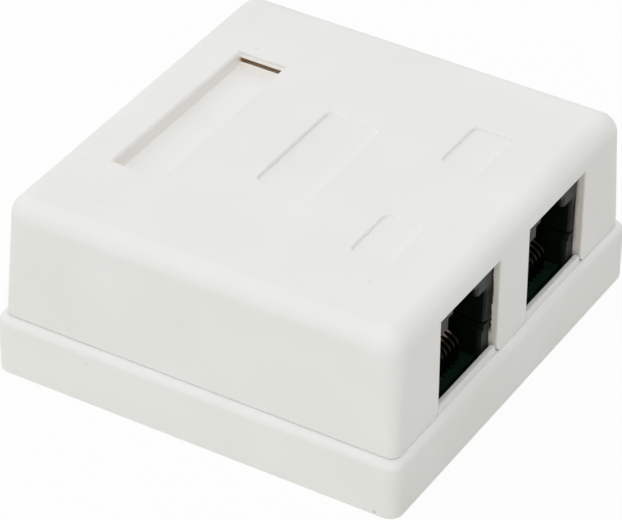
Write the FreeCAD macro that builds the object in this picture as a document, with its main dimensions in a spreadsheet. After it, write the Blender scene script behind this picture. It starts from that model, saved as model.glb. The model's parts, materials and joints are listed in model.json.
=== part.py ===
import FreeCAD, Part
import math
import os
import Sketcher
from FreeCAD import Placement, Rotation, Vector

# Two-port surface mount jack box.  Millimetres.  X runs along the ports, -Y is the port
# side, Z is up, and the origin is the centre of the base's underside.

doc = FreeCAD.newDocument("jack_box")

SIZES = {
    # between neighbours that only lie beside each other
    "clearance": 0.3,
    "overall_height": 27.0,
    # base tray
    "base_width": 64.0,
    "base_depth": 61.0,
    "base_wall": 2.0,
    "floor_thickness": 2.0,
    "base_corner_round": 2.0,
    "ledge_round": 1.1,
    "foot_round": 0.3,
    # cover
    "ledge_side": 1.1,
    "ledge_end": 0.93,
    "cover_wall": 1.8,
    "cover_draft": 0.75,
    "corner_foot_round": 1.4,
    "corner_head_round": 2.95,
    "cover_top_round": 2.9,
    # notches in the cover and sills in the base that close them below
    "notch_head_gap": 0.4,
    "notch_flare": 1.4,
    "sill_height": 1.45,
    "sill_thickness": 0.8,
    "sill_setback": 0.1,
    # recesses in the top of the cover
    "label_length": 30.9,
    "label_width": 6.9,
    "label_depth": 2.0,
    "label_from_rear": 7.77,
    "label_pan_wall": 1.2,
    "label_slot_height": 1.25,
    "label_slot_sill": 0.5,
    "label_slot_length": 1.6,
    "badge_length": 19.0,
    "badge_width": 8.0,
    "badge_depth": 0.5,
    "badge_round": 0.9,
    "badge_offset": 0.15,
    "icon_length": 9.5,
    "icon_width": 5.5,
    "icon_depth": 0.4,
    "icon_round": 0.9,
    "icon_pitch": 23.8,
    "icon_from_front": 12.67,
    # locating ribs and snap tongues
    "rib_length": 10.0,
    "rib_thickness": 1.2,
    "rib_rise": 2.0,
    "side_rib_offset": 7.0,
    "rear_rib_offset": 15.0,
    "tongue_width": 7.0,
    "tongue_thickness": 1.3,
    "tongue_drop": 3.6,
    "tongue_root": 9.0,
    "tongue_offset": 18.0,
    "barb_height": 1.2,
    "barb_reach": 0.3,
    "groove_depth": 0.6,
    # ways in and fixings
    "cable_slot_width": 12.0,
    "floor_hole_length": 18.0,
    "floor_hole_width": 9.0,
    "floor_hole_from_board": 3.0,
    "wall_hole_diameter": 4.2,
    "wall_hole_from_board": 3.7,
    # circuit board
    "board_thickness": 1.6,
    "board_margin": 1.2,
    "post_size": 3.0,
    "boss_diameter": 6.0,
    # jack housings
    "port_pitch": 23.7,
    "port_offset": -0.2,
    "jack_width": 15.0,
    "jack_depth": 15.5,
    "jack_setback": 1.2,
    "jack_headroom": 2.1,
    "jack_roof": 0.75,
    "jack_corner_round": 0.3,
    "plug_width": 12.0,
    "plug_height": 6.7,
    "plug_depth": 12.5,
    "plug_floor": 4.1,
    "rail_width": 0.45,
    "key_width": 7.6,
    "key_height": 1.65,
    "latch_width": 5.74,
    "latch_height": 0.9,
    "mouth_bevel": 0.3,
    "mouth_bevel_rise": 1.1,
    "guide_slot_rise": 0.8,
    "guide_slot_height": 0.45,
    "guide_slot_reach": 1.0,
    "guide_slot_depth": 5.0,
    "peg_diameter": 3.2,
    "peg_spacing": 11.4,
    "peg_setback": 9.0,
    "peg_length": 2.1,
    "peg_fit": 0.05,
    # spring contacts
    "contact_pitch": 1.02,
    "wire_diameter": 0.46,
    "contact_setback": 2.5,
    "contact_rise": 3.2,
    "contact_bend": 1.0,
    "contact_slope": 29.0,
    "contact_tip_gap": 0.3,
    "contact_fit": 0.07,
    "comb_depth": 1.0,
    "comb_height": 2.6,
    "tail_length": 1.0,
    # terminal blocks and their clips
    "terminal_pitch": 3.4,
    "terminal_end": 0.8,
    "terminal_depth": 5.6,
    "terminal_height": 12.5,
    "terminal_from_jack": 3.9,
    "terminal_row_gap": 7.6,
    "core_slot_width": 1.2,
    "core_slot_depth": 7.5,
    "clip_width": 2.4,
    "clip_thickness": 0.4,
    "clip_slit": 0.36,
    "clip_slit_depth": 5.6,
    "clip_mouth": 1.0,
    "clip_below_top": 1.5,
    "clip_tail_width": 0.7,
    "clip_fit": 0.05,
    # board screws
    "screw_diameter": 2.5,
    "screw_length": 5.0,
    "screw_head_diameter": 4.6,
    "screw_head_height": 1.6,
    "screw_drive_width": 0.7,
    "screw_drive_length": 2.6,
    "screw_drive_depth": 0.9,
    "screw_fit": 0.05,
    "screw_hole_clearance": 0.1,
    "screw_crown_round": 1.0,
    "screw_from_jack_rear": 6.0,
}
CONTACTS = 8
TERMINALS = 4
OVERCUT = 1.0  # how far a cutting tool runs past the face that it opens

sheet = doc.addObject("Spreadsheet::Sheet", "Sizes")
for row, (alias, size) in enumerate(SIZES.items(), start=1):
    sheet.set(f"A{row}", alias)
    sheet.set(f"B{row}", str(size))
    sheet.setAlias(f"B{row}", alias)
doc.recompute()

# Levels and lines that several pieces share, as formulas on the sheet.  The cover's ceiling
# sets the tops of the jacks, and they set the board and the seam below them.
TOP = "Sizes.overall_height"
CEILING = f"({TOP} - Sizes.cover_wall)"
JACK_TOP = f"({CEILING} - Sizes.jack_headroom)"
LATCH_TOP = f"({JACK_TOP} - Sizes.jack_roof)"
LATCH_FLOOR = f"({LATCH_TOP} - Sizes.latch_height)"
KEY_FLOOR = f"({LATCH_FLOOR} - Sizes.key_height)"
PLUG_FLOOR = f"({KEY_FLOOR} - Sizes.plug_height)"
BOARD_TOP = f"({PLUG_FLOOR} - Sizes.plug_floor)"
BOARD_BOTTOM = f"({BOARD_TOP} - Sizes.board_thickness)"
SEAM = f"({BOARD_TOP} - Sizes.clearance)"
COVER_HALF_X = "(Sizes.base_width / 2 - Sizes.ledge_side)"
COVER_HALF_Y = "(Sizes.base_depth / 2 - Sizes.ledge_end)"
ROOM_HALF_X = f"({COVER_HALF_X} - Sizes.cover_wall)"
ROOM_HALF_Y = f"({COVER_HALF_Y} - Sizes.cover_wall)"
TRAY_HALF_X = "(Sizes.base_width / 2 - Sizes.base_wall)"
TRAY_HALF_Y = "(Sizes.base_depth / 2 - Sizes.base_wall)"
NOTCH_HALF = "(Sizes.jack_width / 2 + Sizes.clearance)"
JACK_FRONT = f"(-{COVER_HALF_Y} + Sizes.jack_setback)"
JACK_REAR = f"({JACK_FRONT} + Sizes.jack_depth)"
FRONT_ROW = f"({JACK_REAR} + Sizes.terminal_from_jack)"
REAR_ROW = f"({FRONT_ROW} + Sizes.terminal_depth + Sizes.terminal_row_gap)"
BOARD_FRONT = f"(-{ROOM_HALF_Y} + Sizes.clearance)"
BOARD_REAR = f"({REAR_ROW} + Sizes.terminal_depth + Sizes.board_margin)"
BOARD_HALF_X = ("(Sizes.port_pitch / 2 + abs(Sizes.port_offset) + Sizes.jack_width / 2"
                " + Sizes.board_margin)")
CONTACT_LINE = f"({JACK_FRONT} + Sizes.contact_setback)"
PEG_LINE = f"({JACK_FRONT} + Sizes.peg_setback)"
FRONT_SCREW = f"({JACK_REAR} - Sizes.screw_from_jack_rear)"
REAR_SCREW = f"({FRONT_ROW} + Sizes.terminal_depth + Sizes.terminal_row_gap / 2)"
BOSS_BORE_FLOOR = f"({BOARD_TOP} - Sizes.screw_length - Sizes.clearance)"
WALL_HOLE_X = f"({BOARD_HALF_X} + Sizes.wall_hole_from_board)"
LABEL_HALF_X = "(Sizes.label_length / 2)"
LABEL_REAR = f"({COVER_HALF_Y} - Sizes.label_from_rear)"
LABEL_FRONT = f"({LABEL_REAR} - Sizes.label_width)"
LABEL_FLOOR = f"({TOP} - Sizes.label_depth)"
ICON_FRONT = f"(-{COVER_HALF_Y} + Sizes.icon_from_front - Sizes.icon_width / 2)"
TERMINAL_HALF = f"(Sizes.terminal_pitch * {TERMINALS} / 2 + Sizes.terminal_end)"
SIDES = {"left": "-1", "right": "1"}


def value(formula):
    """The number that a formula on the sheet gives now."""
    return float(sheet.evalExpression(formula))


def port_x(side):
    return f"({SIDES[side]} * Sizes.port_pitch / 2 + Sizes.port_offset)"


# ---------------------------------------------------------------- Part helpers

def block(name, x, y, z):
    """A box from three (low, high) pairs of formulas."""
    box = doc.addObject("Part::Box", name)
    for axis, size, (low, high) in zip("xyz", ("Length", "Width", "Height"), (x, y, z)):
        box.setExpression(size, f"({high}) - ({low})")
        box.setExpression(f"Placement.Base.{axis}", low)
    return box


def drafted_block(name, half_x, half_y, z, inset):
    """A block on the origin's axis whose walls all lean in by one inset towards the top."""
    wedge = doc.addObject("Part::Wedge", name)
    wedge.Placement = Placement(Vector(0, 0, 0), Rotation(Vector(1, 0, 0), 90))
    for axis, half in (("X", half_x), ("Z", half_y)):
        wedge.setExpression(f"{axis}min", f"-{half}")
        wedge.setExpression(f"{axis}max", half)
        wedge.setExpression(f"{axis}2min", f"{inset} - {half}")
        wedge.setExpression(f"{axis}2max", f"{half} - {inset}")
    wedge.setExpression("Ymax", f"({z[1]}) - ({z[0]})")
    wedge.setExpression("Placement.Base.z", z[0])
    return wedge


def upright_rod(name, x, y, z, diameter):
    rod = doc.addObject("Part::Cylinder", name)
    rod.setExpression("Radius", f"({diameter}) / 2")
    rod.setExpression("Height", f"({z[1]}) - ({z[0]})")
    for axis, place in zip("xyz", (x, y, z[0])):
        rod.setExpression(f"Placement.Base.{axis}", place)
    return rod


def level_rod(name, x, y, z, radius):
    """A rod along +Y between the two formulas in y."""
    rod = doc.addObject("Part::Cylinder", name)
    rod.Placement = Placement(Vector(0, 0, 0), Rotation(Vector(1, 0, 0), -90))
    rod.setExpression("Radius", radius)
    rod.setExpression("Height", f"({y[1]}) - ({y[0]})")
    for axis, place in zip("xyz", (x, y[0], z)):
        rod.setExpression(f"Placement.Base.{axis}", place)
    return rod


def joined(name, pieces):
    fuse = doc.addObject("Part::MultiFuse", name)
    fuse.Shapes = pieces
    return fuse


def cut(name, base, tool):
    difference = doc.addObject("Part::Cut", name)
    difference.Base = base
    difference.Tool = tool
    return difference


def is_upright(edge):
    ends = [vertex.Point for vertex in edge.Vertexes]
    return abs(ends[0].z - ends[-1].z) > 0.5 * edge.Length


def lies_at(edge, level):
    return all(abs(vertex.Z - level) < 1e-6 for vertex in edge.Vertexes)


def rounded(name, base, upright="0", top="0", bottom="0"):
    """Rounds a block's upright, top and bottom edges, each group to its own radius."""
    doc.recompute()
    box = base.Shape.BoundBox
    radii = []
    for number, edge in enumerate(base.Shape.Edges, start=1):
        if is_upright(edge):
            radius = value(upright)
        elif lies_at(edge, box.ZMax):
            radius = value(top)
        else:
            radius = value(bottom)
        if radius > 0:
            radii.append((number, radius, radius))
    fillet = doc.addObject("Part::Fillet", name)
    fillet.Base = base
    fillet.Edges = radii
    return fillet


def hood_rounds(name, base):
    """Rounds the cover's top edge and its corners, whose radius grows towards the top."""
    doc.recompute()
    foot = value("Sizes.corner_foot_round")
    head = value("Sizes.corner_head_round")
    top = value("Sizes.cover_top_round")
    radii = []
    for number, edge in enumerate(base.Shape.Edges, start=1):
        if lies_at(edge, base.Shape.BoundBox.ZMax):
            radii.append((number, top, top))
        elif is_upright(edge):
            starts_low = edge.Vertexes[0].Z < edge.Vertexes[-1].Z
            radii.append((number, head, foot) if starts_low else (number, foot, head))
    fillet = doc.addObject("Part::Fillet", name)
    fillet.Base = base
    fillet.Edges = radii
    return fillet


def flared(name, x, y, z, half_width, flare_gap):
    """A port-wide block whose foot spreads round the notch's rounded lower corners."""
    arc_x = f"({NOTCH_HALF} + Sizes.notch_flare)"
    arc_z = f"({SEAM} + Sizes.notch_flare)"
    foot_half = f"({arc_x} - {flare_gap})"
    body = block(f"{name}_body", (f"{x} - {half_width}", f"{x} + {half_width}"), y, z)
    foot = block(f"{name}_foot", (f"{x} - {foot_half}", f"{x} + {foot_half}"), y, (z[0], arc_z))
    arcs = []
    for side, sign in SIDES.items():
        reach = (f"{y[0]} - {OVERCUT}", f"{y[1]} + {OVERCUT}")
        radius = f"Sizes.notch_flare + {flare_gap}"
        arcs.append(level_rod(f"{name}_{side}_arc", f"{x} + {sign} * {arc_x}", reach, arc_z, radius))
    spread = cut(f"{name}_spread", foot, joined(f"{name}_arcs", arcs))
    return joined(name, [body, spread])


# ---------------------------------------------------------- PartDesign helpers

def new_body(label):
    body = doc.addObject("PartDesign::Body", label)
    body.Label = label
    return body


def origin_plane(body, role):
    return next(item for item in body.Origin.OriginFeatures if item.Role == role)


def new_sketch(body, name, plane, level="0"):
    """An empty sketch on one of the body's own planes, moved along that plane's normal."""
    sketch = body.newObject("Sketcher::SketchObject", name)
    sketch.AttachmentSupport = [(origin_plane(body, plane), "")]
    sketch.MapMode = "FlatFace"
    sketch.setExpression("AttachmentOffset.Base.z", level)
    return sketch


def pin_point(sketch, geometry, end, across, along):
    """Ties one end of a line or a centre to the origin with two bound dimensions."""
    for kind, formula in (("DistanceX", across), ("DistanceY", along)):
        index = sketch.addConstraint(
            Sketcher.Constraint(kind, -1, 1, geometry, end, value(formula)))
        sketch.setExpression(f"Constraints[{index}]", formula)


def polygon(body, name, plane, corners, level="0"):
    """A closed outline through corners given as pairs of formulas."""
    sketch = new_sketch(body, name, plane, level)
    points = [Vector(value(across), value(along), 0) for across, along in corners]
    count = len(points)
    for index in range(count):
        sketch.addGeometry(Part.LineSegment(points[index], points[(index + 1) % count]), False)
    for index in range(count):
        sketch.addConstraint(
            Sketcher.Constraint("Coincident", index, 2, (index + 1) % count, 1))
    for index, (across, along) in enumerate(corners):
        pin_point(sketch, index, 1, across, along)
    return sketch


def rectangle(body, name, plane, across, along, level="0"):
    corners = [(across[0], along[0]), (across[1], along[0]),
               (across[1], along[1]), (across[0], along[1])]
    return polygon(body, name, plane, corners, level)


def circles(body, name, centres, diameter, level="0"):
    """Equal circles on the body's XY plane."""
    sketch = new_sketch(body, name, "XY_Plane", level)
    for index, (x, y) in enumerate(centres):
        centre = Vector(value(x), value(y), 0)
        sketch.addGeometry(Part.Circle(centre, Vector(0, 0, 1), value(diameter) / 2), False)
        pin_point(sketch, index, 3, x, y)
        size = sketch.addConstraint(Sketcher.Constraint("Diameter", index, value(diameter)))
        sketch.setExpression(f"Constraints[{size}]", diameter)
    return sketch


def pad(body, name, sketch, length, backwards=False):
    feature = body.newObject("PartDesign::Pad", name)
    feature.Profile = sketch
    feature.setExpression("Length", length)
    feature.Reversed = backwards
    return feature


def pocket(body, name, sketch, depth, backwards=False):
    feature = body.newObject("PartDesign::Pocket", name)
    feature.Profile = sketch
    feature.setExpression("Length", depth)
    feature.Reversed = backwards
    return feature


def row_along_x(body, name, feature, pitch, count):
    """Repeats a feature along +X and makes the row the body's tip."""
    doc.recompute()
    row = body.newObject("PartDesign::LinearPattern", name)
    row.Originals = [feature]
    row.Direction = (origin_axis(body), [""])
    row.setExpression("Length", f"({pitch}) * {count - 1}")
    row.Occurrences = count
    body.Tip = row
    return row


def origin_axis(body):
    return next(item for item in body.Origin.OriginFeatures if item.Role == "X_Axis")


# ------------------------------------------------------------------- base tray

def base_ribs():
    """Upright ribs just inside the cover's walls, webbed to the tray's wall."""
    ribs = []
    rib_top = f"({SEAM} + Sizes.rib_rise)"
    outer_x = f"({ROOM_HALF_X} - Sizes.clearance)"
    inner_x = f"({outer_x} - Sizes.rib_thickness)"
    for side in SIDES:
        for place, along in (("front", "-1"), ("rear", "1")):
            centre = f"{along} * Sizes.side_rib_offset"
            span = (f"{centre} - Sizes.rib_length / 2", f"{centre} + Sizes.rib_length / 2")
            name = f"rib_{side}_{place}"
            faces = {"left": (f"-{outer_x}", f"-{inner_x}"), "right": (inner_x, outer_x)}[side]
            web = {"left": (f"-{TRAY_HALF_X}", faces[1]), "right": (faces[0], TRAY_HALF_X)}[side]
            ribs.append(block(name, faces, span, ("Sizes.floor_thickness", rib_top)))
            ribs.append(block(f"{name}_web", web, span,
                              ("Sizes.floor_thickness", f"{SEAM} - Sizes.clearance")))
    outer_y = f"({ROOM_HALF_Y} - Sizes.clearance)"
    inner_y = f"({outer_y} - Sizes.rib_thickness)"
    for side, sign in SIDES.items():
        centre = f"{sign} * Sizes.rear_rib_offset"
        span = (f"{centre} - Sizes.rib_length / 2", f"{centre} + Sizes.rib_length / 2")
        ribs.append(block(f"rib_back_{side}", span, (inner_y, outer_y),
                          ("Sizes.floor_thickness", rib_top)))
        ribs.append(block(f"rib_back_{side}_web", span, (inner_y, TRAY_HALF_Y),
                          ("Sizes.floor_thickness", f"{SEAM} - Sizes.clearance")))
    return ribs


def board_supports():
    """Corner posts and screw bosses that carry the circuit board."""
    height = ("Sizes.floor_thickness", BOARD_BOTTOM)
    supports = []
    near = (BOARD_FRONT, f"{BOARD_FRONT} + Sizes.post_size")
    far = (f"{BOARD_REAR} - Sizes.post_size", BOARD_REAR)
    low_x = (f"-{BOARD_HALF_X}", f"-{BOARD_HALF_X} + Sizes.post_size")
    high_x = (f"{BOARD_HALF_X} - Sizes.post_size", BOARD_HALF_X)
    for name, x, y in (("front_left", low_x, near), ("front_right", high_x, near),
                       ("rear_left", low_x, far), ("rear_right", high_x, far)):
        supports.append(block(f"post_{name}", x, y, height))
    for name, y in (("front", FRONT_SCREW), ("rear", REAR_SCREW)):
        supports.append(upright_rod(f"boss_{name}", "0", y, height, "Sizes.boss_diameter"))
    return supports


def sill(side):
    front = f"(-{COVER_HALF_Y} + Sizes.sill_setback)"
    y = (front, f"{front} + Sizes.sill_thickness")
    z = (SEAM, f"{SEAM} + Sizes.sill_height")
    half_width = f"({NOTCH_HALF} - Sizes.clearance)"
    return flared(f"sill_{side}", port_x(side), y, z, half_width, "Sizes.clearance")


def make_base():
    half_x = "Sizes.base_width / 2"
    half_y = "Sizes.base_depth / 2"
    solid = block("base_block", (f"-{half_x}", half_x), (f"-{half_y}", half_y), ("0", SEAM))
    shell = rounded("base_rounds", solid, "Sizes.base_corner_round",
                    "Sizes.ledge_round", "Sizes.foot_round")
    hollow = block("base_hollow", (f"-{TRAY_HALF_X}", TRAY_HALF_X),
                   (f"-{TRAY_HALF_Y}", TRAY_HALF_Y),
                   ("Sizes.floor_thickness", f"{SEAM} + {OVERCUT}"))
    tray = cut("base_tray", shell, hollow)
    additions = base_ribs() + board_supports() + [sill(side) for side in SIDES]
    filled = joined("base_filled", [tray] + additions)

    through_floor = (f"-{OVERCUT}", f"Sizes.floor_thickness + {OVERCUT}")
    tools = []
    for name, y in (("front", FRONT_SCREW), ("rear", REAR_SCREW)):
        tools.append(upright_rod(f"bore_{name}", "0", y,
                                 (BOSS_BORE_FLOOR, f"{BOARD_BOTTOM} + {OVERCUT}"),
                                 "Sizes.screw_diameter + 2 * Sizes.screw_fit"))
    for side, sign in SIDES.items():
        tools.append(upright_rod(f"wall_hole_{side}", f"{sign} * {WALL_HOLE_X}", "0",
                                 through_floor, "Sizes.wall_hole_diameter"))
    hole_front = f"({BOARD_REAR} + Sizes.floor_hole_from_board)"
    tools.append(block("floor_hole", ("-Sizes.floor_hole_length / 2", "Sizes.floor_hole_length / 2"),
                       (hole_front, f"{hole_front} + Sizes.floor_hole_width"), through_floor))
    tools.append(block("cable_slot", ("-Sizes.cable_slot_width / 2", "Sizes.cable_slot_width / 2"),
                       (f"{TRAY_HALF_Y} - {OVERCUT}", f"{half_y} + {OVERCUT}"),
                       ("Sizes.floor_thickness", f"{SEAM} + {OVERCUT}")))
    tools += barb_grooves()
    base = cut("base", filled, joined("base_openings", tools))
    return base


def barb_levels():
    low = f"({SEAM} - Sizes.tongue_drop)"
    return low, f"({low} + Sizes.barb_height)"


def tongue_spans():
    for side in SIDES:
        for place, along in (("front", "-1"), ("rear", "1")):
            centre = f"{along} * Sizes.tongue_offset"
            yield side, place, centre


def barb_grooves():
    """Grooves in the tray's side walls where the cover's barbs come to lie."""
    low, high = barb_levels()
    grooves = []
    for side, place, centre in tongue_spans():
        half = "(Sizes.tongue_width / 2 + Sizes.clearance)"
        depth = f"({TRAY_HALF_X} + Sizes.groove_depth)"
        x = {"left": (f"-{depth}", f"-{TRAY_HALF_X}"), "right": (TRAY_HALF_X, depth)}[side]
        grooves.append(block(f"groove_{side}_{place}", x, (f"{centre} - {half}", f"{centre} + {half}"),
                             (f"{low} - Sizes.clearance", f"{high} + Sizes.clearance")))
    return grooves


# ----------------------------------------------------------------------- cover

def snap_tongues():
    """Four tongues that hang inside the side walls, each with a shallow barb."""
    low, high = barb_levels()
    pieces = []
    for side, place, centre in tongue_spans():
        outer = f"({TRAY_HALF_X} - Sizes.clearance - Sizes.barb_reach)"
        inner = f"({outer} - Sizes.tongue_thickness)"
        barb = f"({outer} + Sizes.barb_reach)"
        faces = {"left": (f"-{outer}", f"-{inner}"), "right": (inner, outer)}[side]
        nose = {"left": (f"-{barb}", f"-{inner}"), "right": (inner, barb)}[side]
        span = (f"{centre} - Sizes.tongue_width / 2", f"{centre} + Sizes.tongue_width / 2")
        root = f"{SEAM} + Sizes.tongue_root"
        pieces.append(block(f"tongue_{side}_{place}", faces, span, (low, root)))
        pieces.append(block(f"barb_{side}_{place}", nose, span, (low, high)))
    return pieces


def label_recess():
    """The label's recess and the slot that runs out under its right-hand end."""
    recess = block("label_recess", (f"-{LABEL_HALF_X}", LABEL_HALF_X), (LABEL_FRONT, LABEL_REAR),
                   (LABEL_FLOOR, f"{TOP} + {OVERCUT}"))
    slot_end = f"({LABEL_HALF_X} + Sizes.label_slot_length)"
    slot = block("label_slot", (LABEL_HALF_X, slot_end), (LABEL_FRONT, LABEL_REAR),
                 (LABEL_FLOOR, f"{LABEL_FLOOR} + Sizes.label_slot_height"))
    drop = block("label_drop", (f"{LABEL_HALF_X} + Sizes.label_slot_sill", slot_end),
                 (LABEL_FRONT, LABEL_REAR),
                 (f"{LABEL_FLOOR} - Sizes.label_pan_wall - {OVERCUT}", LABEL_FLOOR))
    return [recess, slot, drop]


def shallow_recess(name, x, y, depth, radius):
    shape = block(f"{name}_block", x, y, (f"{TOP} - {depth}", f"{TOP} + {OVERCUT}"))
    return rounded(name, shape, upright=radius)


def notch(side):
    y = (f"-{COVER_HALF_Y} - {OVERCUT}", f"-{ROOM_HALF_Y} + {OVERCUT}")
    z = (f"{SEAM} - {OVERCUT}", f"{JACK_TOP} + Sizes.notch_head_gap")
    return flared(f"notch_{side}", port_x(side), y, z, NOTCH_HALF, "0")


def make_cover():
    inset = f"(({TOP} - {SEAM}) * tan(Sizes.cover_draft * 1 deg))"
    solid = drafted_block("cover_block", COVER_HALF_X, COVER_HALF_Y, (SEAM, TOP), inset)
    shell = hood_rounds("cover_rounds", solid)
    room = block("cover_room", (f"-{ROOM_HALF_X}", ROOM_HALF_X),
                 (f"-{ROOM_HALF_Y}", ROOM_HALF_Y), (f"{SEAM} - {OVERCUT}", CEILING))
    hood = cut("cover_hood", shell, room)
    pan = block("label_pan",
                (f"-{LABEL_HALF_X} - Sizes.label_pan_wall",
                 f"{LABEL_HALF_X} + Sizes.label_slot_length + Sizes.label_pan_wall"),
                (f"{LABEL_FRONT} - Sizes.label_pan_wall", f"{LABEL_REAR} + Sizes.label_pan_wall"),
                (f"{LABEL_FLOOR} - Sizes.label_pan_wall", f"{CEILING} + Sizes.cover_wall / 2"))
    filled = joined("cover_filled", [hood, pan] + snap_tongues())
    badge = shallow_recess("badge_recess", ("-Sizes.badge_length / 2", "Sizes.badge_length / 2"),
                           ("Sizes.badge_offset - Sizes.badge_width / 2",
                            "Sizes.badge_offset + Sizes.badge_width / 2"),
                           "Sizes.badge_depth", "Sizes.badge_round")
    icons = []
    for side, sign in SIDES.items():
        x = f"({sign} * Sizes.icon_pitch / 2)"
        icons.append(shallow_recess(f"icon_recess_{side}",
                                    (f"{x} - Sizes.icon_length / 2", f"{x} + Sizes.icon_length / 2"),
                                    (ICON_FRONT, f"{ICON_FRONT} + Sizes.icon_width"),
                                    "Sizes.icon_depth", "Sizes.icon_round"))
    notches = [notch(side) for side in SIDES]
    return cut("cover", filled, joined("cover_openings", label_recess() + [badge] + icons + notches))


# --------------------------------------------------------------- circuit board

def contact_x(side, number):
    """Where contact 0..7 of one port stands, from left to right."""
    offset = number - (CONTACTS - 1) / 2
    return f"({port_x(side)} + ({offset}) * Sizes.contact_pitch)"


def terminal_x(side, number):
    offset = number - (TERMINALS - 1) / 2
    return f"({port_x(side)} + ({offset}) * Sizes.terminal_pitch)"


def row_centre(row):
    return f"({row} + Sizes.terminal_depth / 2)"


def make_board():
    body = new_body("circuit_board")
    outline = rectangle(body, "board_outline", "XY_Plane", (f"-{BOARD_HALF_X}", BOARD_HALF_X),
                        (BOARD_FRONT, BOARD_REAR), BOARD_BOTTOM)
    pad(body, "board_pad", outline, "Sizes.board_thickness")
    below = f"({BOARD_BOTTOM} - {OVERCUT})"
    through = f"Sizes.board_thickness + 2 * {OVERCUT}"

    def holes(name, centres, diameter):
        sketch = circles(body, f"{name}_circles", centres, diameter, below)
        return pocket(body, name, sketch, through, backwards=True)

    wire_holes = holes("contact_holes", [(contact_x(side, 0), CONTACT_LINE) for side in SIDES],
                       "Sizes.wire_diameter + 2 * Sizes.contact_fit")
    row_along_x(body, "contact_hole_row", wire_holes, "Sizes.contact_pitch", CONTACTS)
    tail_diagonal = "sqrt(Sizes.clip_tail_width ^ 2 + Sizes.clip_thickness ^ 2)"
    centres = [(terminal_x(side, 0), row_centre(row)) for side in SIDES
               for row in (FRONT_ROW, REAR_ROW)]
    tail_holes = holes("tail_holes", centres, f"{tail_diagonal} + 2 * Sizes.clip_fit")
    row_along_x(body, "tail_hole_row", tail_holes, "Sizes.terminal_pitch", TERMINALS)
    pegs = [(f"{port_x(side)} + {sign} * Sizes.peg_spacing / 2", PEG_LINE)
            for side in SIDES for sign in SIDES.values()]
    holes("peg_holes", pegs, "Sizes.peg_diameter + 2 * Sizes.peg_fit")
    holes("screw_holes", [("0", FRONT_SCREW), ("0", REAR_SCREW)],
          "Sizes.screw_diameter + 2 * Sizes.screw_hole_clearance")
    return body


# --------------------------------------------------------------- jack housings

def plug_outline():
    """Front view of the socket: open at the foot, rails, plug, key step and latch slot."""
    foot = f"({BOARD_TOP} - {OVERCUT})"
    levels = [PLUG_FLOOR, KEY_FLOOR, LATCH_FLOOR, LATCH_TOP]
    halves = ["(Sizes.plug_width / 2 - Sizes.rail_width)", "(Sizes.plug_width / 2)",
              "(Sizes.key_width / 2)", "(Sizes.latch_width / 2)"]
    right = [(halves[0], foot)]
    for index, level in enumerate(levels):
        right.append((halves[index], level))
        if index + 1 < len(halves):
            right.append((halves[index + 1], level))
    left = [(f"-{across}", along) for across, along in reversed(right)]
    return right + left


def contact_tip():
    """Where the free end of a contact lies, as (y, z) formulas."""
    y = f"({JACK_FRONT} + Sizes.plug_depth + Sizes.comb_depth - Sizes.contact_tip_gap)"
    run = f"({y} - {CONTACT_LINE})"
    z = f"({BOARD_TOP} + Sizes.contact_rise + {run} * tan(Sizes.contact_slope * 1 deg))"
    return y, z


def mouth_bevel(body, name, width, levels):
    """Bevels the two upright edges of the mouth between two levels."""
    half = f"({width} / 2)"
    inner = f"({JACK_FRONT} + Sizes.mouth_bevel)"
    corners = [(f"-({half} + Sizes.mouth_bevel)", JACK_FRONT), (f"{half} + Sizes.mouth_bevel", JACK_FRONT),
               (half, inner), (f"-{half}", inner)]
    sketch = polygon(body, f"{name}_outline", "XY_Plane", corners, levels[0])
    return pocket(body, name, sketch, f"{levels[1]} - {levels[0]}", backwards=True)


def guide_slots(body, name):
    """Shallow slots low in both side walls of the mouth."""
    half = "(Sizes.plug_width / 2 + Sizes.guide_slot_reach)"
    low = f"({PLUG_FLOOR} + Sizes.guide_slot_rise)"
    sketch = rectangle(body, f"{name}_outline", "XZ_Plane", (f"-{half}", half),
                       (low, f"{low} + Sizes.guide_slot_height"), f"-{JACK_FRONT}")
    return pocket(body, name, sketch, "Sizes.guide_slot_depth")


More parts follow.
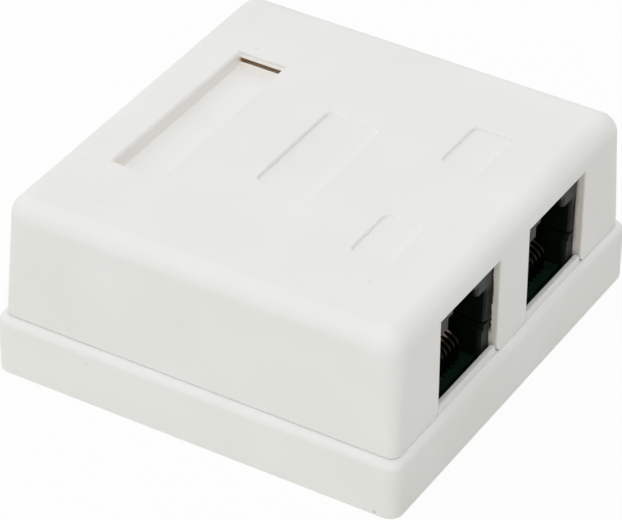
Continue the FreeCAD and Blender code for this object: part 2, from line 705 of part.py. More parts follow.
def make_jack_housing(side):
    name = f"jack_housing_{side}"
    body = new_body(name)
    half = "Sizes.jack_width / 2"
    front = rectangle(body, f"{name}_outline", "XZ_Plane", (f"-{half}", half),
                      (BOARD_TOP, JACK_TOP), f"-{JACK_FRONT}")
    shell = pad(body, f"{name}_pad", front, "Sizes.jack_depth", backwards=True)
    doc.recompute()
    corners = [f"Edge{number}" for number, edge in enumerate(body.Shape.Edges, start=1)
               if lies_at(edge, value(JACK_TOP))
               and abs(edge.Vertexes[0].Y - edge.Vertexes[-1].Y) > 0.5 * edge.Length]
    edges = body.newObject("PartDesign::Fillet", f"{name}_edges")
    edges.Base = (shell, corners)
    edges.setExpression("Radius", "Sizes.jack_corner_round")
    socket = polygon(body, f"{name}_socket_outline", "XZ_Plane", plug_outline(), f"-{JACK_FRONT}")
    pocket(body, f"{name}_socket", socket, "Sizes.plug_depth")
    mouth_bevel(body, f"{name}_plug_bevel", "Sizes.plug_width",
                (f"({PLUG_FLOOR} + Sizes.mouth_bevel_rise)", KEY_FLOOR))
    mouth_bevel(body, f"{name}_key_bevel", "Sizes.key_width", (KEY_FLOOR, LATCH_FLOOR))
    guide_slots(body, f"{name}_guide_slots")
    tip_z = contact_tip()[1]
    slot_half = "(Sizes.wire_diameter / 2 + Sizes.contact_fit)"
    first = f"(-{(CONTACTS - 1) / 2} * Sizes.contact_pitch)"
    comb_wall = f"({JACK_FRONT} + Sizes.plug_depth)"
    slot = rectangle(body, f"{name}_comb_outline", "XZ_Plane",
                     (f"{first} - {slot_half}", f"{first} + {slot_half}"),
                     (f"{tip_z} - Sizes.comb_height / 2", f"{tip_z} + Sizes.comb_height / 2"),
                     f"-{comb_wall}")
    comb = pocket(body, f"{name}_comb", slot, "Sizes.comb_depth")
    row_along_x(body, f"{name}_comb_row", comb, "Sizes.contact_pitch", CONTACTS)
    pegs = circles(body, f"{name}_peg_circles",
                   [(f"{sign} * Sizes.peg_spacing / 2", PEG_LINE) for sign in SIDES.values()],
                   "Sizes.peg_diameter", BOARD_TOP)
    pad(body, f"{name}_pegs", pegs, "Sizes.peg_length", backwards=True)
    body.setExpression("Placement.Base.x", port_x(side))
    return body


# ------------------------------------------------------------- spring contacts

def make_contact(side, number):
    """A wire that stands in the board, bends back over and slopes up to the comb."""
    name = f"contact_{side}_{number + 1}"
    body = new_body(name)
    tail = f"({BOARD_BOTTOM} - Sizes.tail_length)"
    section = circles(body, f"{name}_section", [("0", CONTACT_LINE)], "Sizes.wire_diameter", tail)
    tip_y, tip_z = contact_tip()
    path = new_sketch(body, f"{name}_path", "YZ_Plane")
    line_y = value(CONTACT_LINE)
    corner = Vector(line_y, value(f"{BOARD_TOP} + Sizes.contact_rise"), 0)
    start = Vector(line_y, value(tail), 0)
    end = Vector(value(tip_y), value(tip_z), 0)
    path.addGeometry(Part.LineSegment(start, corner), False)
    path.addGeometry(Part.LineSegment(corner, end), False)
    path.addConstraint(Sketcher.Constraint("Coincident", 0, 2, 1, 1))
    bend = value("Sizes.contact_bend")
    path.fillet(0, 2, bend)
    for kind, formula in (("DistanceX", CONTACT_LINE), ("DistanceY", tail)):
        index = path.addConstraint(Sketcher.Constraint(kind, -1, 1, 0, 1, value(formula)))
        path.setExpression(f"Constraints[{index}]", formula)
    path.addConstraint(Sketcher.Constraint("Vertical", 0))
    pin_point(path, 1, 2, tip_y, tip_z)
    radius = path.addConstraint(Sketcher.Constraint("Radius", 2, bend))
    path.setExpression(f"Constraints[{radius}]", "Sizes.contact_bend")
    slope = path.addConstraint(
        Sketcher.Constraint("Angle", 1, math.radians(value("Sizes.contact_slope"))))
    path.setExpression(f"Constraints[{slope}]", "Sizes.contact_slope * 1 deg")
    pipe = body.newObject("PartDesign::AdditivePipe", f"{name}_pipe")
    pipe.Profile = section
    pipe.Spine = path
    body.setExpression("Placement.Base.x", contact_x(side, number))
    return body


# ------------------------------------------------- terminal blocks and clips

def clip_top():
    return f"({BOARD_TOP} + Sizes.terminal_height - Sizes.clip_below_top)"


def make_terminal_block(side, place, row):
    name = f"terminal_block_{side}_{place}"
    body = new_body(name)
    y = (row, f"{row} + Sizes.terminal_depth")
    outline = rectangle(body, f"{name}_outline", "XY_Plane",
                        (f"-{TERMINAL_HALF}", TERMINAL_HALF), y, BOARD_TOP)
    pad(body, f"{name}_pad", outline, "Sizes.terminal_height")
    first = f"(-{(TERMINALS - 1) / 2} * Sizes.terminal_pitch)"
    top = f"({BOARD_TOP} + Sizes.terminal_height)"
    slot = rectangle(body, f"{name}_core_outline", "XZ_Plane",
                     (f"{first} - Sizes.core_slot_width / 2", f"{first} + Sizes.core_slot_width / 2"),
                     (f"{top} - Sizes.core_slot_depth", f"{top} + {OVERCUT}"),
                     f"-{y[0]} + {OVERCUT}")
    core = pocket(body, f"{name}_core_slot", slot, f"Sizes.terminal_depth + 2 * {OVERCUT}")
    row_along_x(body, f"{name}_core_slots", core, "Sizes.terminal_pitch", TERMINALS)
    half_width = "(Sizes.clip_width / 2 + Sizes.clip_fit)"
    half_depth = "(Sizes.clip_thickness / 2 + Sizes.clip_fit)"
    centre = row_centre(row)
    seat = rectangle(body, f"{name}_seat_outline", "XY_Plane",
                     (f"{first} - {half_width}", f"{first} + {half_width}"),
                     (f"{centre} - {half_depth}", f"{centre} + {half_depth}"),
                     BOARD_TOP)
    seat_pocket = pocket(body, f"{name}_clip_seat", seat,
                         f"{clip_top()} + Sizes.clip_fit - {BOARD_TOP}", backwards=True)
    row_along_x(body, f"{name}_clip_seats", seat_pocket, "Sizes.terminal_pitch", TERMINALS)
    body.setExpression("Placement.Base.x", port_x(side))
    return body


def make_clip(side, place, row, number):
    """A forked blade with a tail through the board and a slit that bites the core."""
    name = f"terminal_clip_{side}_{place}_{number + 1}"
    body = new_body(name)
    tail_half = "(Sizes.clip_tail_width / 2)"
    blade_half = "(Sizes.clip_width / 2)"
    slit_half = "(Sizes.clip_slit / 2)"
    mouth_half = "(Sizes.clip_mouth / 2)"
    tail = f"({BOARD_BOTTOM} - Sizes.tail_length)"
    shoulder = f"({BOARD_TOP} + Sizes.clip_fit)"
    top = clip_top()
    slit_foot = f"({top} - Sizes.clip_slit_depth)"
    throat = f"({top} - Sizes.clip_mouth)"
    right = [(tail_half, tail), (tail_half, shoulder), (blade_half, shoulder), (blade_half, top),
             (mouth_half, top), (slit_half, throat), (slit_half, slit_foot)]
    left = [(f"-{across}", along) for across, along in reversed(right)]
    outline = polygon(body, f"{name}_outline", "XZ_Plane", right + left,
                      f"-{row_centre(row)} - Sizes.clip_thickness / 2")
    pad(body, f"{name}_pad", outline, "Sizes.clip_thickness")
    body.setExpression("Placement.Base.x", terminal_x(side, number))
    return body


# ---------------------------------------------------------------- board screws

def make_screw(name, y):
    """A pan-head self-tapping screw with a cross drive, seated on the board."""
    tip = f"({BOARD_TOP} - Sizes.screw_length)"
    shank = upright_rod(f"{name}_shank", "0", y, (tip, BOARD_TOP), "Sizes.screw_diameter")
    head = upright_rod(f"{name}_head", "0", y,
                       (BOARD_TOP, f"{BOARD_TOP} + Sizes.screw_head_height"),
                       "Sizes.screw_head_diameter")
    crown = rounded(f"{name}_crown", head, top="Sizes.screw_crown_round")
    drive_floor = f"({BOARD_TOP} + Sizes.screw_head_height - Sizes.screw_drive_depth)"
    z = (drive_floor, f"{BOARD_TOP} + Sizes.screw_head_height + {OVERCUT}")
    long_half = "Sizes.screw_drive_length / 2"
    wide_half = "Sizes.screw_drive_width / 2"
    arms = [block(f"{name}_drive_x", (f"-{long_half}", long_half),
                  (f"{y} - {wide_half}", f"{y} + {wide_half}"), z),
            block(f"{name}_drive_y", (f"-{wide_half}", wide_half),
                  (f"{y} - {long_half}", f"{y} + {long_half}"), z)]
    return cut(name, joined(f"{name}_blank", [shank, crown]), joined(f"{name}_drive", arms))


def make_screws():
    screws = doc.addObject("Part::Compound", "board_screws")
    screws.Links = [make_screw("front_screw", FRONT_SCREW), make_screw("rear_screw", REAR_SCREW)]
    return screws


# --------------------------------------------------------------------- assembly

nodes = [make_base(), make_cover(), make_board(), make_screws()]
for side in SIDES:
    nodes.append(make_jack_housing(side))
    for number in range(CONTACTS):
        nodes.append(make_contact(side, number))
    for place, row in (("front", FRONT_ROW), ("rear", REAR_ROW)):
        nodes.append(make_terminal_block(side, place, row))
        for number in range(TERMINALS):
            nodes.append(make_clip(side, place, row, number))
doc.recompute()

for item in doc.Objects:
    if "Invalid" in item.State or "Error" in item.State:
        raise RuntimeError(f"{item.Name} did not build: {item.State}")
os.makedirs("parts", exist_ok=True)
for node in nodes:
    if node.Shape.isNull() or not node.Shape.isValid():
        raise RuntimeError(f"{node.Label} has no valid shape")
    node.Shape.exportStep(f"parts/{node.Label}.step")
    print(node.Label, len(node.Shape.Solids), round(node.Shape.Volume, 3))
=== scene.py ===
import json
import math

import bmesh
import bpy
from mathutils import Matrix, Vector


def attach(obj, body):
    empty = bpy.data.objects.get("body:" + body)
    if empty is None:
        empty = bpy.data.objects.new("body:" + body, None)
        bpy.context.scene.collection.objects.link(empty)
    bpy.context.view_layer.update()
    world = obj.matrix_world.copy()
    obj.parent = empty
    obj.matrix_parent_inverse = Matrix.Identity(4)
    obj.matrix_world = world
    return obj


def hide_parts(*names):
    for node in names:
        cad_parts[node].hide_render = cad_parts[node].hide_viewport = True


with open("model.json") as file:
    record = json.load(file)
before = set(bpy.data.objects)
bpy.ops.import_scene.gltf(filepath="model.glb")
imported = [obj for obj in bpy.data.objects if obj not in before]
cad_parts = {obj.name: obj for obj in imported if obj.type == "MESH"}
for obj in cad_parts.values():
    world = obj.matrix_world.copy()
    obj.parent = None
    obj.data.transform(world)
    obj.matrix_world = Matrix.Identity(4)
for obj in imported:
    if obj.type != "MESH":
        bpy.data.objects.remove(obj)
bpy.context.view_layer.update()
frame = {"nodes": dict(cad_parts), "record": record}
NODES = frame["nodes"]

MM = 0.001
TINY = 0.01 * MM
PURE_WHITE = (1, 1, 1, 1)


# ---------------------------------------------------------------------- camera

AZIMUTH = math.radians(-60.217)
ELEVATION = math.radians(35.632)
ROLL = math.radians(1.383)
DISTANCE = 511.07 * MM
ASIDE = -0.8746 * MM
ABOVE = -1.4185 * MM
LOOK_AT = Vector((0, 0, 11.571 * MM))
LENS = 221.68
SENSOR = 36.0


def place_camera():
    """Puts the camera at its distance from the box, a little aside and rolled."""
    back = Vector((math.sin(AZIMUTH) * math.cos(ELEVATION),
                   -math.cos(AZIMUTH) * math.cos(ELEVATION), math.sin(ELEVATION)))
    level = Vector((math.cos(AZIMUTH), math.sin(AZIMUTH), 0))
    upright = back.cross(level)
    right = level * math.cos(ROLL) + upright * math.sin(ROLL)
    up = upright * math.cos(ROLL) - level * math.sin(ROLL)
    data = bpy.data.cameras.new("camera")
    data.sensor_fit = "HORIZONTAL"
    data.sensor_width = SENSOR
    data.lens = LENS
    camera = bpy.data.objects.new("camera", data)
    turn = Matrix((right, up, back)).transposed().to_4x4()
    place = LOOK_AT + back * DISTANCE + level * ASIDE + upright * ABOVE
    camera.matrix_world = Matrix.Translation(place) @ turn
    bpy.context.scene.collection.objects.link(camera)
    bpy.context.scene.camera = camera


place_camera()


# ------------------------------------------------------------------- materials

class Tree:
    """A short way to write a node tree."""

    def __init__(self, owner):
        owner.use_nodes = True
        self.tree = owner.node_tree
        self.tree.nodes.clear()

    def add(self, kind, **settings):
        node = self.tree.nodes.new(kind)
        for key, setting in settings.items():
            setattr(node, key, setting)
        return node

    def link(self, source, target):
        self.tree.links.new(source, target)

    def maths(self, operation, *sources):
        """The result of one operation on sockets and plain numbers."""
        node = self.add("ShaderNodeMath", operation=operation)
        for socket, source in zip(node.inputs, sources):
            if isinstance(source, float):
                socket.default_value = source
            else:
                self.link(source, socket)
        return node.outputs[0]

    def times(self, first, *factors):
        product = first
        for factor in factors:
            product = self.maths("MULTIPLY", product, factor)
        return product

    def blended(self, amount, first, second, output):
        """Mixes two shaders by an amount and sends them to the output."""
        mix = self.add("ShaderNodeMixShader")
        for socket, source in zip(mix.inputs, (amount, first, second)):
            self.link(source, socket)
        self.link(mix.outputs[0], output.inputs[0])

    def background_rays(self):
        """1 on the rays that meet a plain white: the camera's, and those from gloss and glass."""
        path = self.add("ShaderNodeLightPath")
        amount = path.outputs["Is Camera Ray"]
        for ray in ("Is Glossy Ray", "Is Transmission Ray"):
            amount = self.maths("MAXIMUM", amount, path.outputs[ray])
        return amount


class Material(Tree):
    """A material with one shader, and masks that follow places on the object."""

    def __init__(self, name):
        self.material = bpy.data.materials.new(name)
        super().__init__(self.material)
        self.output = self.add("ShaderNodeOutputMaterial")
        self.shader = self.add("ShaderNodeBsdfPrincipled")
        self.link(self.shader.outputs[0], self.output.inputs[0])
        coordinates = self.add("ShaderNodeTexCoord")
        self.place = coordinates.outputs["Object"]
        self.split = self.add("ShaderNodeSeparateXYZ")
        self.link(self.place, self.split.inputs[0])
        self.facing = coordinates.outputs["Normal"]

    def noise(self, scale, detail=3.0, roughness=0.55):
        node = self.add("ShaderNodeTexNoise")
        self.link(self.place, node.inputs["Vector"])
        node.inputs["Scale"].default_value = scale
        node.inputs["Detail"].default_value = detail
        node.inputs["Roughness"].default_value = roughness
        return node.outputs["Fac"]

    def ramp(self, source, stops):
        """Colours at places from 0 to 1 along a value, and blends between them."""
        node = self.add("ShaderNodeValToRGB")
        self.link(source, node.inputs[0])
        elements = node.color_ramp.elements
        while len(elements) < len(stops):
            elements.new(0.5)
        for element, (position, colour) in zip(elements, stops):
            element.position = position
            element.color = (*colour, 1.0)
        return node.outputs["Color"]

    def mottled(self, scale, first, second, **settings):
        """Two colours in soft patches."""
        return self.ramp(self.noise(scale, **settings), [(PATCH_LOW, first), (PATCH_HIGH, second)])

    def uneven(self, scale, low, high):
        """A number that wanders between two others in soft patches."""
        return self.spread(self.noise(scale), PATCH_LOW, PATCH_HIGH, low, high)

    def spread(self, source, low, high, out_low, out_high):
        """A value's range stretched to another range and held at its ends."""
        node = self.add("ShaderNodeMapRange")
        self.link(source, node.inputs["Value"])
        for key, number in zip(("From Min", "From Max", "To Min", "To Max"),
                               (low, high, out_low, out_high)):
            node.inputs[key].default_value = number
        return node.outputs["Result"]

    def across(self, axis, low, high, out_low=0.0, out_high=1.0):
        """A value that runs from one number to another between two places along an axis."""
        return self.spread(self.split.outputs[axis], low, high, out_low, out_high)

    def within(self, zone):
        """1 inside a zone and 0 outside it.

        Each of the zone's rows is an axis, the place where the mask is 0 and the place where it
        reaches 1.
        """
        return self.times(*[self.across(axis, none, full) if none < full
                            else self.across(axis, full, none, 1.0, 0.0)
                            for axis, none, full in zone])

    def turned(self, axis, full, none):
        """1 on faces whose normal along an axis is below the first number, 0 above the second."""
        split = self.add("ShaderNodeSeparateXYZ")
        self.link(self.facing, split.inputs[0])
        return self.spread(split.outputs[axis], full, none, 1.0, 0.0)

    def mixed(self, amount, first, second, blend="MIX"):
        """Two colours mixed by an amount, each a socket or three numbers."""
        node = self.add("ShaderNodeMix", data_type="RGBA", blend_type=blend)
        self.link(amount, node.inputs["Factor"])
        for socket, colour in ((node.inputs[6], first), (node.inputs[7], second)):
            if isinstance(colour, tuple):
                socket.default_value = (*colour, 1.0)
            else:
                self.link(colour, socket)
        return node.outputs[2]

    def spot(self, centre, radius):
        """1 in the middle of a small round spot and 0 outside it."""
        gap = self.add("ShaderNodeVectorMath", operation="DISTANCE")
        self.link(self.place, gap.inputs[0])
        gap.inputs[1].default_value = centre
        return self.spread(gap.outputs["Value"], radius * SPECK_CORE, radius, 1.0, 0.0)

    def bump(self, source, height):
        node = self.add("ShaderNodeBump")
        node.inputs["Strength"].default_value = 1.0
        node.inputs["Distance"].default_value = height
        self.link(source, node.inputs["Height"])
        return node.outputs["Normal"]

    def wire(self, socket, source):
        self.link(source, self.shader.inputs[socket])

    def set(self, **numbers):
        for key, number in numbers.items():
            self.shader.inputs[key.replace("_", " ")].default_value = number


def linear(*channels):
    """sRGB 0..255 to linear."""
    out = []
    for channel in channels:
        part = channel / 255
        out.append(part / 12.92 if part <= 0.04045 else ((part + 0.055) / 1.055) ** 2.4)
    return tuple(out)


# Where a noise, which runs from 0 to 1 but seldom leaves the middle, counts as low and as high.
PATCH_LOW = 0.3
PATCH_HIGH = 0.7
# How a face is turned: an axis, and the normal's part along it where a mask is 1 and where 0.
FACING_LEFT = ("X", -0.9, -0.5)
LEANING_LEFT = ("X", -0.5, -0.1)
NOT_LEVEL = ("Z", 0.35, 0.7)

JACK_FACE = min(corner[1] for corner in NODES["jack_housing_left"].bound_box)
BOARD_TOP = max(corner[2] for corner in NODES["circuit_board"].bound_box)
COVER_TOP = max(corner[2] for corner in NODES["cover"].bound_box)
PORT_TOP = 23.2 * MM
SILL_FRONT = -29.35 * MM
LABEL_END = 15.45 * MM
LABEL_FLOOR = COVER_TOP - 2.0 * MM
SLOT_CEILING = LABEL_FLOOR + 1.25 * MM

# Painted warm shade inside the slot at the label's right end, brown and darker than the white
# around it.
SLOT_ZONE = (
    ("X", LABEL_END - 0.25 * MM, LABEL_END + 0.4 * MM),
    ("X", LABEL_END + 2.2 * MM, LABEL_END + 2.0 * MM),
    ("Y", 14.2 * MM, 14.8 * MM),
    ("Y", 22.4 * MM, 21.8 * MM),
    ("Z", LABEL_FLOOR - 0.4 * MM, LABEL_FLOOR - 0.3 * MM),
    ("Z", SLOT_CEILING + 0.1 * MM, SLOT_CEILING),
)
SLOT_PAINTED_SHADE = (1.0, 0.64, 0.34)

# Painted shade, a little warm, on the wall and the rim above and below that slot.
END_WALL_ZONE = (
    ("X", LABEL_END - 0.15 * MM, LABEL_END - 0.1 * MM),
    ("X", LABEL_END + 1.1 * MM, LABEL_END + 1.0 * MM),
    ("Y", 14.2 * MM, 14.8 * MM),
    ("Y", 23.8 * MM, 23.4 * MM),
    ("Z", LABEL_FLOOR - 0.2 * MM, LABEL_FLOOR - 0.1 * MM),
)
END_WALL_PAINTED_SHADE = (0.86, 0.82, 0.77)

# Painted light on the walls of the recesses in the cover's top, which makes them brighter and
# warmer than the plain white.
RECESS_ZONE = (
    ("Z", COVER_TOP - 2.3 * MM, COVER_TOP - 2.1 * MM),
    ("Y", -20 * MM, -19.8 * MM),
    ("Y", 22.8 * MM, 22.6 * MM),
    ("X", -17 * MM, -16.8 * MM),
    ("X", 15.6 * MM, 15.5 * MM),
)
RECESS_PAINTED_LIGHT = (0.90, 0.875, 0.84)

# Painted shade on the sills under the ports, which darken towards the jacks.
SILL_ZONE = (
    ("Y", JACK_FACE + 0.7 * MM, JACK_FACE + 0.5 * MM),
    ("Z", 9.9 * MM, 10.1 * MM),
    ("Z", 10.5 * MM, 10.3 * MM),
    ("X", -20.6 * MM, -20.4 * MM),
    ("X", 20.6 * MM, 20.4 * MM),
)
SILL_SHADE = 0.3
SILL_SHADE_COLOUR = (0.25, 0.25, 0.24)

# The ports' right walls: their place along X, and how strong the ragged dark line along the edge
# next to the jack is.
PORT_WALLS = ((-4.25 * MM, 1.0), (19.45 * MM, 0.25))
PORT_DEPTH = ("Y", JACK_FACE + 0.9 * MM, JACK_FACE + 0.6 * MM)
PORT_HEAD = ("Z", PORT_TOP + 0.4 * MM, PORT_TOP)
# Painted warm shade on the ports' right walls: where it starts at the foot, how far it reaches and
# its tint.
WARM_SHADE_FOOT = ("Z", 9.5 * MM, 10.5 * MM)
WARM_SHADE_REACH = 0.7 * MM
WARM_SHADE_TONE = (1.0, 0.965, 0.90)
# The ragged dark line next to the jack: its foot, its reach, where it starts and is full, how
# ragged it is, and its colour.
DARK_LINE_FOOT = ("Z", 11.5 * MM, 12.5 * MM)
DARK_LINE_REACH = 0.3 * MM
DARK_LINE_START = JACK_FACE - 0.35 * MM
DARK_LINE_FULL = JACK_FACE + 0.05 * MM
DARK_LINE_RAGGED = 0.3
DARK_LINE_COLOUR = (0.055, 0.042, 0.028)

# Specks on the outside: centre and radius in millimetres, and strength.
SPECKS = (
    ((-32.0, -27.4, 0.6), 0.32, 0.35),
    ((-32.0, 16.0, 6.6), 0.45, 0.09),
    ((-30.9, -5.6, 24.5), 0.26, 0.14),
    ((-17.7, 25.4, 27.0), 0.26, 0.12),
    ((-24.4, 18.3, 27.0), 0.24, 0.09),
    ((17.5, 20.4, 27.0), 0.36, 0.16),
    ((-21.3, -19.7, 27.0), 0.24, 0.18),
    ((27.7, 21.2, 27.0), 0.26, 0.11),
    ((-2.0, -3.6, 27.0), 0.22, 0.09),
    ((-28.3, -30.5, 1.6), 0.4, 0.1),
)
SPECK_COLOUR = (0.05, 0.04, 0.03)
# The part of a speck's radius that is fully dark.
SPECK_CORE = 0.3

WHITE_GRAIN = 0.01 * MM
BLACK_GRAIN = 0.006 * MM

# The heights between which the jacks' faces change their grey, a painted light that is greyer at
# the top and foot, and where the painted shade of their insides begins.
JACK_FOOT = 12.0 * MM
JACK_HEAD = 22.0 * MM
JACK_SHADED_INSIDE = (JACK_FACE + 0.25 * MM, JACK_FACE + 0.9 * MM)

# Where the painted highlight on the contacts begins, and the part of that highlight left in the
# right jack.
CONTACT_HIGHLIGHT_RISE = (BOARD_TOP + 3.85 * MM, BOARD_TOP + 4.25 * MM)
BETWEEN_JACKS = (0.0, 4.0 * MM)
RIGHT_JACK_HIGHLIGHT = 0.12


def beside(wall, half, fade=0.1 * MM):
    """The rows of a zone that reaches as far to either side of a wall."""
    return (("X", wall - half, wall - half + fade), ("X", wall + half, wall + half - fade))


def specked(m, colour):
    for centre, radius, strength in SPECKS:
        spot = m.times(m.spot([c * MM for c in centre], radius * MM), strength)
        colour = m.mixed(spot, colour, SPECK_COLOUR)
    return colour


def port_walls_shaded_and_lined(m, colour):
    """The ports' right walls carry a painted warm shade, with a ragged dark line next to the jack.
    """
    ragged = m.spread(m.noise(1100.0, detail=4.0, roughness=0.7), 0.35, 0.65,
                      -DARK_LINE_RAGGED, DARK_LINE_RAGGED)
    near_jack = m.maths("ADD", m.across("Y", DARK_LINE_START, DARK_LINE_FULL), ragged)
    for wall, line_strength in PORT_WALLS:
        # Painted warm shade on the wall that faces into the port.
        face = m.within((*beside(wall, WARM_SHADE_REACH), PORT_DEPTH, WARM_SHADE_FOOT, PORT_HEAD))
        warm_shade = m.times(m.turned(*FACING_LEFT), face)
        colour = m.mixed(warm_shade, colour, WARM_SHADE_TONE, "MULTIPLY")
        # A ragged dark line along the wall's edge next to the jack.
        edge = m.within((*beside(wall, DARK_LINE_REACH), PORT_DEPTH, DARK_LINE_FOOT, PORT_HEAD))
        dark_line = m.times(m.spread(near_jack, 0.4, 0.6, 0.0, 1.0), edge, line_strength)
        colour = m.mixed(dark_line, colour, DARK_LINE_COLOUR)
    return colour


def moulded_white():
    """White ABS of both mouldings, with its tones and specks, painted shade in the slot, on its
    end wall, on the sills and on the ports' walls, painted light on the recess walls, and a ragged
    dark line by the jacks.
    """
    m = Material("white_abs")
    colour = m.mottled(60.0, linear(233, 233, 230), linear(237, 237, 235), detail=2.0)
    colour = specked(m, colour)
    # Painted brown shade inside the label's slot.
    colour = m.mixed(m.within(SLOT_ZONE), colour, SLOT_PAINTED_SHADE, "MULTIPLY")
    # Painted shade on the slot's end wall and its rims.
    end_wall_shade = m.times(m.turned(*LEANING_LEFT), m.within(END_WALL_ZONE))
    colour = m.mixed(end_wall_shade, colour, END_WALL_PAINTED_SHADE, "MULTIPLY")
    colour = port_walls_shaded_and_lined(m, colour)
    # Painted light on the recess walls.
    lit_recess_walls = m.times(m.turned(*NOT_LEVEL), m.within(RECESS_ZONE))
    colour = m.mixed(lit_recess_walls, colour, RECESS_PAINTED_LIGHT)
    # Painted shade on the backs of the sills, deepening towards the jacks.
    sill_back_shade = m.times(m.across("Y", SILL_FRONT, JACK_FACE, 0.0, SILL_SHADE),
                        m.within(SILL_ZONE))
    colour = m.mixed(sill_back_shade, colour, SILL_SHADE_COLOUR)
    m.wire("Base Color", colour)
    m.wire("Roughness", m.uneven(900.0, 0.42, 0.52))
    m.wire("Normal", m.bump(m.noise(5200.0, detail=2.0), WHITE_GRAIN))
    m.set(IOR=1.5)
    return m.material


def jack_black():
    """Black plastic, with painted light that makes the top and foot of the jack's face greyer, and
    painted shade with a painted green reflection that makes it green-black inside.
    """
    m = Material("jack_plastic")
    # Painted shade and a painted green reflection inside the jack.
    inside = m.mottled(400.0, (0.0012, 0.0044, 0.0009), (0.0020, 0.0064, 0.0014))
    # Painted light: the face is greyer at its foot and head than in the middle.
    foot, middle, head = (0.020, 0.023, 0.020), (0.006, 0.007, 0.006), (0.056, 0.058, 0.056)
    face = m.ramp(m.across("Z", JACK_FOOT, JACK_HEAD),
                  [(0.0, foot), (0.35, middle), (0.68, middle), (0.82, head)])
    depth = m.across("Y", *JACK_SHADED_INSIDE)
    m.wire("Base Color", m.mixed(depth, face, inside))
    m.wire("Roughness", m.uneven(1500.0, 0.45, 0.6))
    m.wire("Normal", m.bump(m.noise(3500.0), BLACK_GRAIN))
    m.set(Specular_IOR_Level=0.13)
    return m.material


def board_green():
    """The board's green solder mask."""
    m = Material("board_green")
    m.wire("Base Color", m.mottled(700.0, (0.0024, 0.0125, 0.0055), (0.0040, 0.0195, 0.0085)))
    m.wire("Roughness", m.uneven(900.0, 0.35, 0.5))
    m.set(Specular_IOR_Level=0.25)
    return m.material


def metal(name, dark, light, rough, spread=0.06):
    m = Material(name)
    m.wire("Base Color", m.mottled(1200.0, dark, light))
    m.wire("Roughness", m.uneven(2500.0, rough - spread, rough + spread))
    m.set(Metallic=1.0)
    return m.material


def contact_metal():
    """Contacts, painted dull as in shade, with a painted highlight along their rising ends that is
    strong in the left jack.
    """
    m = Material("contact_gold")
    dull = m.mottled(1200.0, (0.009, 0.010, 0.007), (0.017, 0.017, 0.012))
    bright = m.mottled(1500.0, (0.20, 0.12, 0.07), (0.62, 0.47, 0.37))
    # Painted highlight along the contacts' rising ends, weaker in the right jack.
    rising = m.across("Z", *CONTACT_HIGHLIGHT_RISE)
    highlight_left_more = m.across("X", *BETWEEN_JACKS, 1.0, RIGHT_JACK_HIGHLIGHT)
    m.wire("Base Color", m.mixed(m.times(rising, highlight_left_more), dull, bright))
    m.wire("Roughness", m.uneven(2500.0, 0.28, 0.4))
    m.set(Metallic=1.0)
    return m.material


WHITE = moulded_white()
BLACK = jack_black()
SLOTS = {
    "base_plastic": WHITE,
    "cover_plastic": WHITE,
    "jack_plastic": BLACK,
    "board_laminate": board_green(),
    "terminal_plastic": WHITE,
    "contact_plating": contact_metal(),
    "clip_plating": metal("clip_tin", (0.62, 0.62, 0.60), (0.74, 0.74, 0.72), 0.35),
    "screw_steel": metal("screw_zinc", (0.50, 0.51, 0.53), (0.62, 0.63, 0.65), 0.3),
}
for part in frame["record"]["subparts"]:
    for slot in NODES[part["node"]].material_slots:
        slot.material = SLOTS[part["material_slot"]]


# ------------------------------------------------------------------ soft edges

CRISP = math.radians(35)
FLAT = math.radians(0.4)
SAME_POINT = 0.001 * MM
# The upward part of a normal: below the first number a face is a wall, above the second level.
WALL = 0.02
LEVEL = 0.9

COVER_ROUND = 0.22 * MM
LABEL_RIM_ROUND = 0.4 * MM
BASE_ROUND = 0.12 * MM
JACK_ROUND = 0.06 * MM

LABEL_RIM_FRONT = 14 * MM
LABEL_RIM_BACK = 24 * MM
LABEL_RIM_SIDE = 20 * MM

LABEL_LEAN = 0.34 * MM
SHALLOW_LEAN = 0.1 * MM
DEEP = LABEL_LEAN * 3
# Holds back the move at a corner, which grows as its walls stand at a sharper angle.
LEAST_COSINE = 0.5

# Where the label's floor ends in the solid, and what the slot there becomes.
SLOT_EDGE = LABEL_END + 0.5 * MM
SLOT_DROP = 0.15 * MM
SLOT_LIP = 0.7 * MM
LIP_SLOPE = 0.06 * MM


def narrow_slot(form):
    """The label's slot starts above a low lip, and its ceiling is a little lower."""
    for vert in form.verts:
        if vert.co.x > LABEL_END - TINY and abs(vert.co.z - SLOT_CEILING) < TINY:
            vert.co.z -= SLOT_DROP
    pan = [face for face in form.faces
           if abs(face.calc_center_median().z - LABEL_FLOOR) < TINY and face.normal.z > LEVEL]
    edges = list(dict.fromkeys(edge for face in pan for edge in face.edges))
    verts = list(dict.fromkeys(vert for face in pan for vert in face.verts))
    bmesh.ops.bisect_plane(form, geom=verts + edges + pan, dist=SAME_POINT,
                           plane_co=(LABEL_END - LIP_SLOPE, 0, 0), plane_no=(1, 0, 0))
    for vert in form.verts:
        if abs(vert.co.x - SLOT_EDGE) < TINY and abs(vert.co.z - LABEL_FLOOR) < TINY:
            vert.co.x = LABEL_END
            vert.co.z += SLOT_LIP


def lean_recess_walls(form):
    """The walls of the cover's recesses lean outwards, so that the mould lets them go."""
    moves = {}
    for vert in form.verts:
        walls = [face.normal for face in vert.link_faces if abs(face.normal.z) < WALL]
        if COVER_TOP - vert.co.z > TINY / 2 or not walls:
            continue
        depth = max(vert.co.z - edge.other_vert(vert).co.z for edge in vert.link_edges)
        lean = LABEL_LEAN if depth > DEEP else SHALLOW_LEAN
        outward = -sum(walls, Vector()).normalized()
        moves[vert] = outward * lean / max(-outward.dot(walls[0]), LEAST_COSINE)
    for vert, move in moves.items():
        vert.co += move
    form.normal_update()


def shape_cover(form):
    narrow_slot(form)
    lean_recess_walls(form)


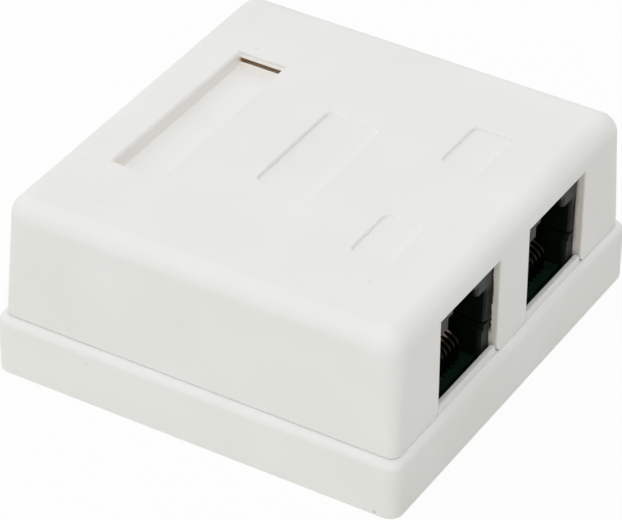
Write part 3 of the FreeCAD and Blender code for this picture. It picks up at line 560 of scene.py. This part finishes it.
def on_label_rim(middle):
    return (middle.z > COVER_TOP - TINY and LABEL_RIM_FRONT < middle.y < LABEL_RIM_BACK
            and abs(middle.x) < LABEL_RIM_SIDE)


def rounded(form, radius, segments, chosen=None):
    """Rounds the crisp outer edges, or only those whose middle passes a test."""
    edges = [edge for edge in form.edges
             if edge.is_convex and edge.calc_face_angle() > CRISP
             and (chosen is None or chosen((edge.verts[0].co + edge.verts[1].co) / 2))]
    bmesh.ops.bevel(form, geom=edges, offset=radius, offset_type="OFFSET", segments=segments,
                    profile=0.5, affect="EDGES", clamp_overlap=False)


def softened(node, body, slot, rounds, reshape=None):
    """The moulding with its crisp outer edges rounded, as a mould leaves them."""
    solid = NODES[node]
    mesh = bpy.data.meshes.new(f"{node}_moulding")
    form = bmesh.new()
    form.from_mesh(solid.data)
    bmesh.ops.remove_doubles(form, verts=form.verts, dist=SAME_POINT)
    bmesh.ops.dissolve_limit(form, angle_limit=FLAT, verts=form.verts, edges=form.edges)
    if reshape:
        reshape(form)
    for turn in rounds:
        rounded(form, *turn)
    for face in form.faces:
        face.smooth = True
    form.to_mesh(mesh)
    form.free()
    mesh.set_sharp_from_angle(angle=CRISP)
    mesh.materials.append(SLOTS[slot])
    piece = bpy.data.objects.new(f"{node}_moulding", mesh)
    piece.matrix_world = solid.matrix_world.copy()
    bpy.context.scene.collection.objects.link(piece)
    weighting = piece.modifiers.new("even_faces", "WEIGHTED_NORMAL")
    weighting.mode = "FACE_AREA"
    weighting.keep_sharp = True
    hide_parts(node)
    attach(piece, body)


softened("cover", "cover", "cover_plastic",
         [(LABEL_RIM_ROUND, 4, on_label_rim), (COVER_ROUND, 3)], shape_cover)
softened("base", "base_unit", "base_plastic", [(BASE_ROUND, 3)])
for side in ("left", "right"):
    softened(f"jack_housing_{side}", "base_unit", "jack_plastic", [(JACK_ROUND, 2)])


# ----------------------------------------------------------------------- stage

FLOOR_REACH = 2.0
FLOOR_COLOUR = (0.84, 0.835, 0.79)
FLOOR_SEEN = 0.93
# How far the floor's opening stays inside the tray's outline.
FLOOR_TUCK = 0.2 * MM
FOOT_ROUND = 2.0 * MM
CORNER_STEPS = 6

SKY_LEVEL = 0.88
FRONT = Vector((0, -1, 0))
FRONT_LOSS = 0.7
KEY = Vector((-0.5, -0.42, 1)).normalized()
KEY_LEVEL = 2.5
KEY_TIGHTNESS = 16.0


def backdrop(name, colour, seen):
    """A pale sheet that the camera sees as nearly even white, with the object's shadow kept."""
    m = Material(name)
    m.wire("Base Color", m.mottled(6.0, colour, tuple(c * 0.99 for c in colour), detail=1.0))
    m.set(Roughness=0.9, Specular_IOR_Level=0.1)
    glow = m.add("ShaderNodeEmission")
    glow.inputs["Color"].default_value = PURE_WHITE
    m.blended(m.times(m.background_rays(), seen), m.shader.outputs[0], glow.outputs[0], m.output)
    return m.material


def foot_outline(inset):
    """The tray's outline, drawn in by an inset."""
    low, high = (Vector(NODES["base"].bound_box[corner]) for corner in (0, 6))
    radius = FOOT_ROUND - inset
    outline = []
    for side_x, side_y, start in ((1, 1, 0), (-1, 1, 90), (-1, -1, 180), (1, -1, 270)):
        corner_x = (high.x if side_x > 0 else low.x) - side_x * FOOT_ROUND
        corner_y = (high.y if side_y > 0 else low.y) - side_y * FOOT_ROUND
        for step in range(CORNER_STEPS + 1):
            turn = math.radians(start + step * 90 / CORNER_STEPS)
            outline.append((corner_x + radius * math.cos(turn),
                            corner_y + radius * math.sin(turn)))
    return outline


def floor():
    """A wide sheet round the tray's foot, open under the tray so that the underside shows."""
    inner = foot_outline(FLOOR_TUCK)
    outer = [(x * FLOOR_REACH / max(abs(x), abs(y)), y * FLOOR_REACH / max(abs(x), abs(y)))
             for x, y in inner]
    count = len(inner)
    faces = [(i, i + count, (i + 1) % count + count, (i + 1) % count) for i in range(count)]
    mesh = bpy.data.meshes.new("floor")
    mesh.from_pydata([(x, y, 0) for x, y in inner + outer], [], faces)
    sheet = bpy.data.objects.new("floor", mesh)
    mesh.materials.append(backdrop("floor_white", FLOOR_COLOUR, FLOOR_SEEN))
    bpy.context.scene.collection.objects.link(sheet)


def light_tent():
    """Even light from all round, dimmer in front, with a broad soft key high on the left."""
    world = bpy.data.worlds.new("light_tent")
    bpy.context.scene.world = world
    w = Tree(world)
    direction = w.add("ShaderNodeTexCoord").outputs["Generated"]

    def towards(side):
        along = w.add("ShaderNodeVectorMath", operation="DOT_PRODUCT")
        along.inputs[1].default_value = side
        w.link(direction, along.inputs[0])
        return w.maths("MAXIMUM", along.outputs["Value"], 0.0)

    sky = w.maths("MULTIPLY_ADD", towards(FRONT), -FRONT_LOSS, SKY_LEVEL)
    key = w.maths("POWER", towards(KEY), KEY_TIGHTNESS)
    light = w.maths("MULTIPLY_ADD", key, KEY_LEVEL, sky)
    tent = w.add("ShaderNodeBackground")
    w.link(light, tent.inputs["Strength"])
    white = w.add("ShaderNodeBackground")
    for background in (tent, white):
        background.inputs["Color"].default_value = PURE_WHITE
    w.blended(w.background_rays(), tent.outputs[0], white.outputs[0],
              w.add("ShaderNodeOutputWorld"))


floor()
light_tent()

bpy.context.scene.view_settings.view_transform = "Standard"
